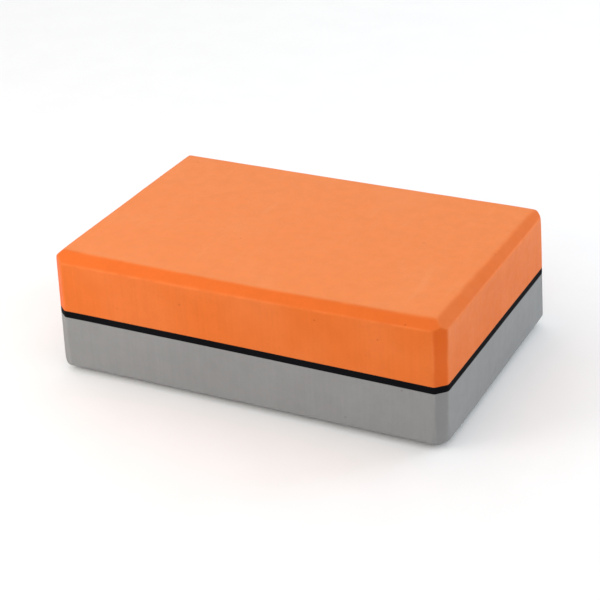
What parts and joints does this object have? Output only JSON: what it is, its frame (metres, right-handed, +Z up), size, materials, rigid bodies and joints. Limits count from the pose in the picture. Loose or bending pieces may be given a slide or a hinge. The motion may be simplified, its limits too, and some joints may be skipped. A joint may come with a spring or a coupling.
{
  "type": "laminated foam yoga brick",
  "caption": "Rectangular foam brick with flat-bevelled edges, laminated from thick upper and lower slabs around a thin dark core, for supporting a hand, foot or seat.",
  "frame": {"origin": "centre of the face that the block rests on", "axes": "+X along the length, +Y along the width towards the far long side, +Z up through the layers, from the grey slab to the orange one"},
  "size_m": [0.23, 0.15, 0.073],
  "materials": {
    "grey_foam": "matt closed-cell foam, sawn",
    "black_foam": "matt closed-cell foam, sawn",
    "orange_foam": "matt closed-cell foam, sawn",
    "adhesive": "dull dried contact adhesive"
  },
  "bodies": {
    "root": {"lower_foam_slab": "grey_foam", "lower_bond_film": "adhesive", "core_sheet": "black_foam", "upper_bond_film": "adhesive", "upper_foam_slab": "orange_foam"}
  },
  "joints": []
}
